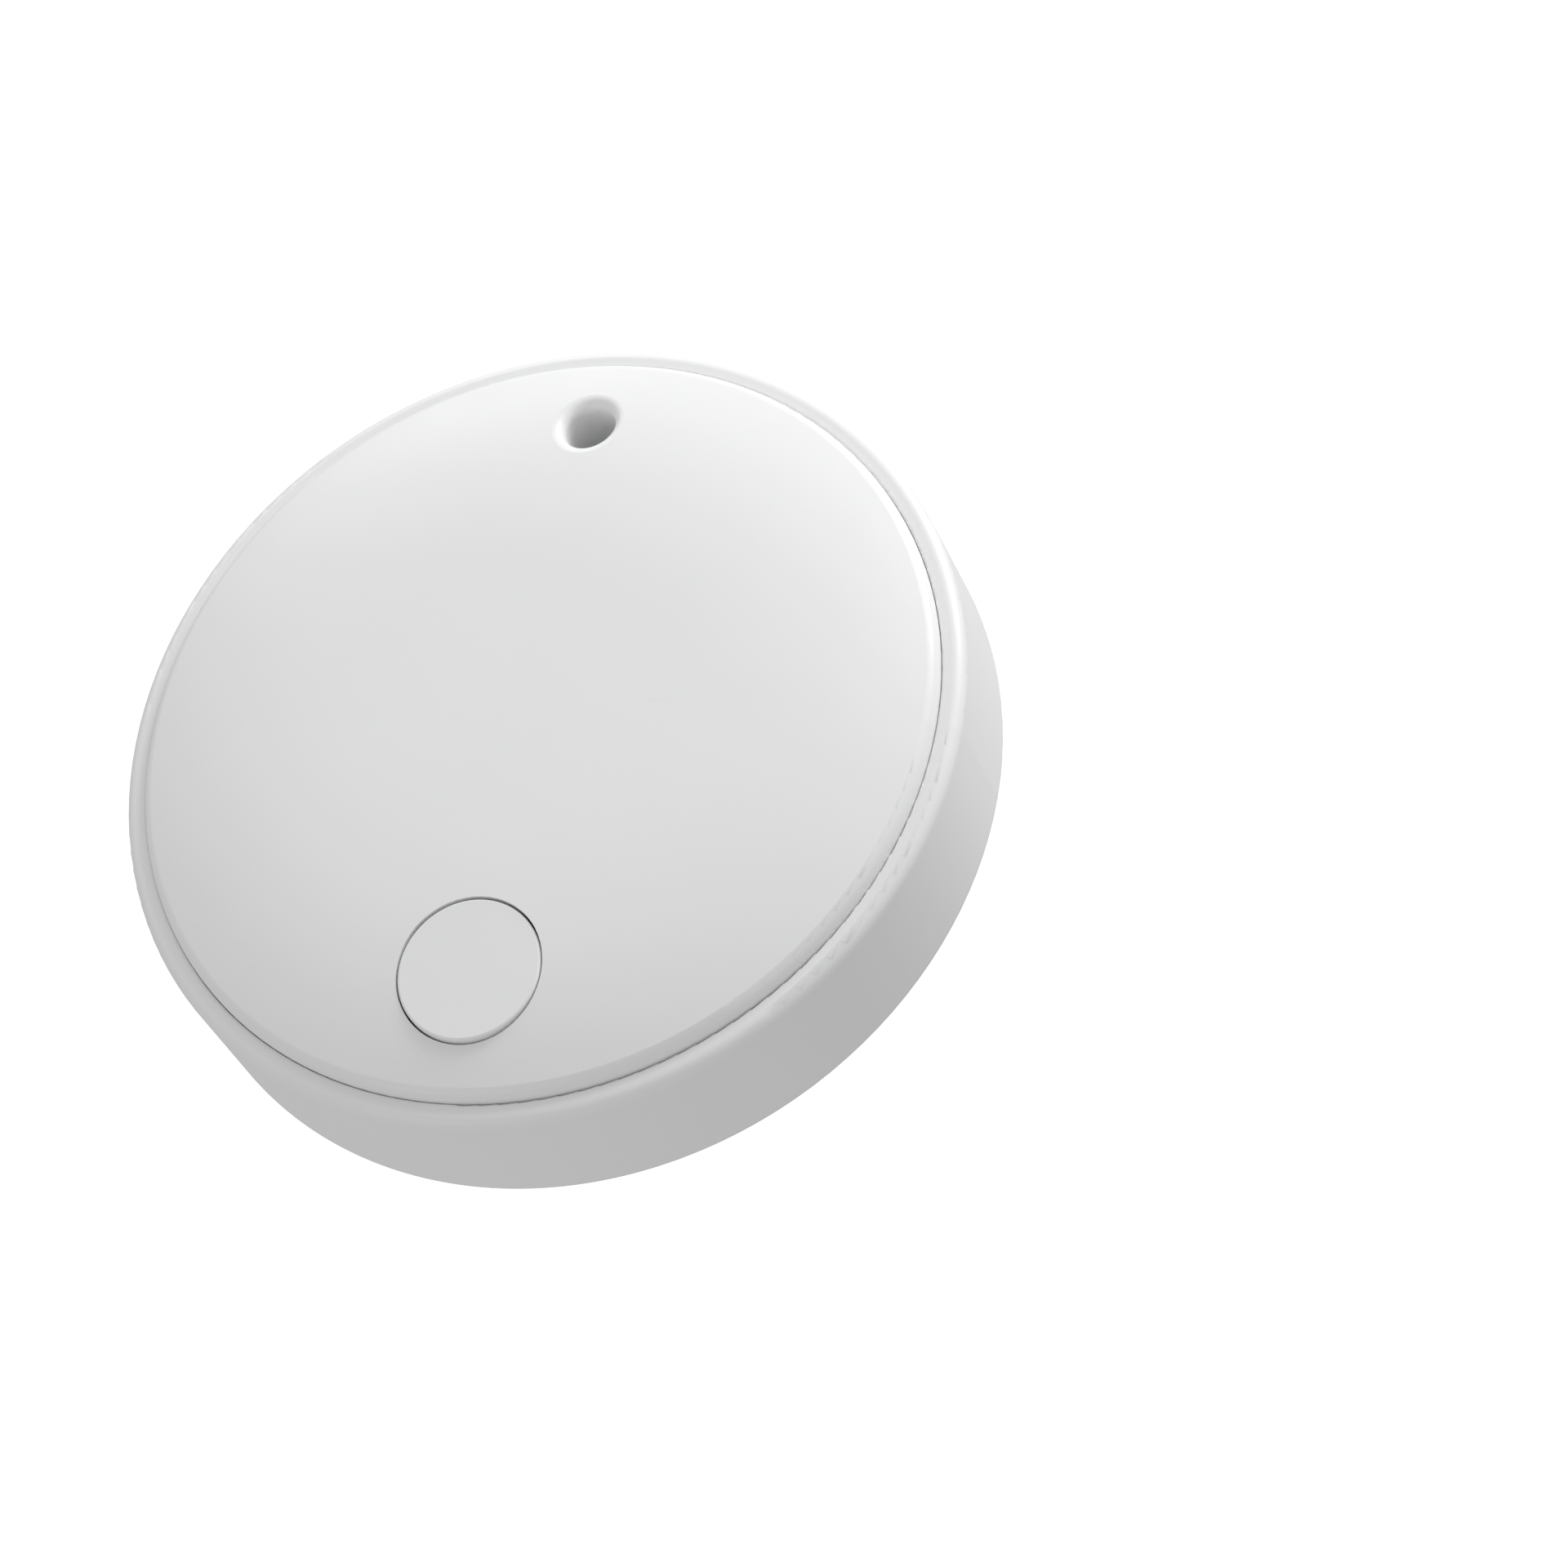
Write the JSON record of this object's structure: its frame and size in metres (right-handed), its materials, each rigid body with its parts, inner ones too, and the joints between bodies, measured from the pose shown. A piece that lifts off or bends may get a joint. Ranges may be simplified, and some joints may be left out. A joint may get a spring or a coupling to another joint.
{
  "type": "bluetooth tracker tag",
  "caption": "Round coin-cell tracker tag with pillow-shaped covers set into a side ring, a press button, a keyring hole and a removable back cover.",
  "frame": {"origin": "centre of the flat back face, where the tag lies on a table", "axes": "+Z out of the front face, +Y from the centre towards the keyring hole, +X to the right seen from the front"},
  "size_m": [0.036, 0.036, 0.0098],
  "materials": {
    "white_plastic": "satin moulded",
    "adhesive": "clear tacky film",
    "silicone": "soft matte",
    "foam": "open cell",
    "switch_plastic": "moulded",
    "plunger_plastic": "moulded",
    "cell_steel": "fine turned",
    "gasket_plastic": "moulded",
    "electrode": "pressed powder",
    "frame_plastic": "fine texture",
    "board_laminate": "solder mask",
    "screw_steel": "zinc plated",
    "contact_metal": "nickel plated spring sheet",
    "sounder_brass": "satin",
    "piezo_ceramic": "fired",
    "chip_epoxy": "moulded",
    "crystal_metal": "satin",
    "ferrite": "sintered",
    "antenna_ceramic": "fired",
    "capacitor_ceramic": "fired",
    "resistor_ceramic": "glazed"
  },
  "bodies": {
    "casing": {"side_ring": "white_plastic", "front_cover": "white_plastic", "cover_adhesive": "adhesive", "button_boot": "silicone", "sounder_foam": "foam", "switch_body": "switch_plastic", "battery_frame": "frame_plastic", "circuit_board": "board_laminate", "board_screws": "screw_steel", "side_contact": "contact_metal", "centre_contact": "contact_metal", "sounder_springs": "contact_metal", "sounder_disc": "sounder_brass", "sounder_ceramic": "piezo_ceramic", "bluetooth_chip": "chip_epoxy", "motion_sensor": "chip_epoxy", "driver_transistor": "chip_epoxy", "main_crystal": "crystal_metal", "clock_crystal": "crystal_metal", "driver_coil": "ferrite", "antenna": "antenna_ceramic", "capacitors": "capacitor_ceramic", "resistors": "resistor_ceramic"},
    "button": {"button_cap": "white_plastic"},
    "plunger": {"switch_plunger": "plunger_plastic"},
    "back_door": {"back_cover": "white_plastic", "seal_ring": "silicone", "battery_pad": "foam"},
    "battery": {"battery_can": "cell_steel", "battery_gasket": "gasket_plastic", "battery_lid": "cell_steel", "battery_core": "electrode"}
  },
  "joints": [
    {"name": "button_press", "type": "slide", "parent": "casing", "child": "button", "axis": [0, 0, -1], "range_m": [0, 0.00025], "stiffness_N_per_m": 4000, "deforming": ["button_boot"]},
    {"name": "plunger_press", "type": "slide", "parent": "casing", "child": "plunger", "axis": [0, 0, -1], "range_m": [0, 0.00025]},
    {"name": "cover_release", "type": "slide", "parent": "casing", "child": "back_door", "axis": [0, 0, -1], "range_m": [0, 0.016]},
    {"name": "battery_release", "type": "slide", "parent": "casing", "child": "battery", "axis": [0, 0, -1], "range_m": [0, 0.008]}
  ],
  "couplings": [
    {"joint": "plunger_press", "follows": "button_press", "ratio": 1},
    {"joint": "battery_release", "follows": "cover_release", "ratio": 0.5}
  ]
}
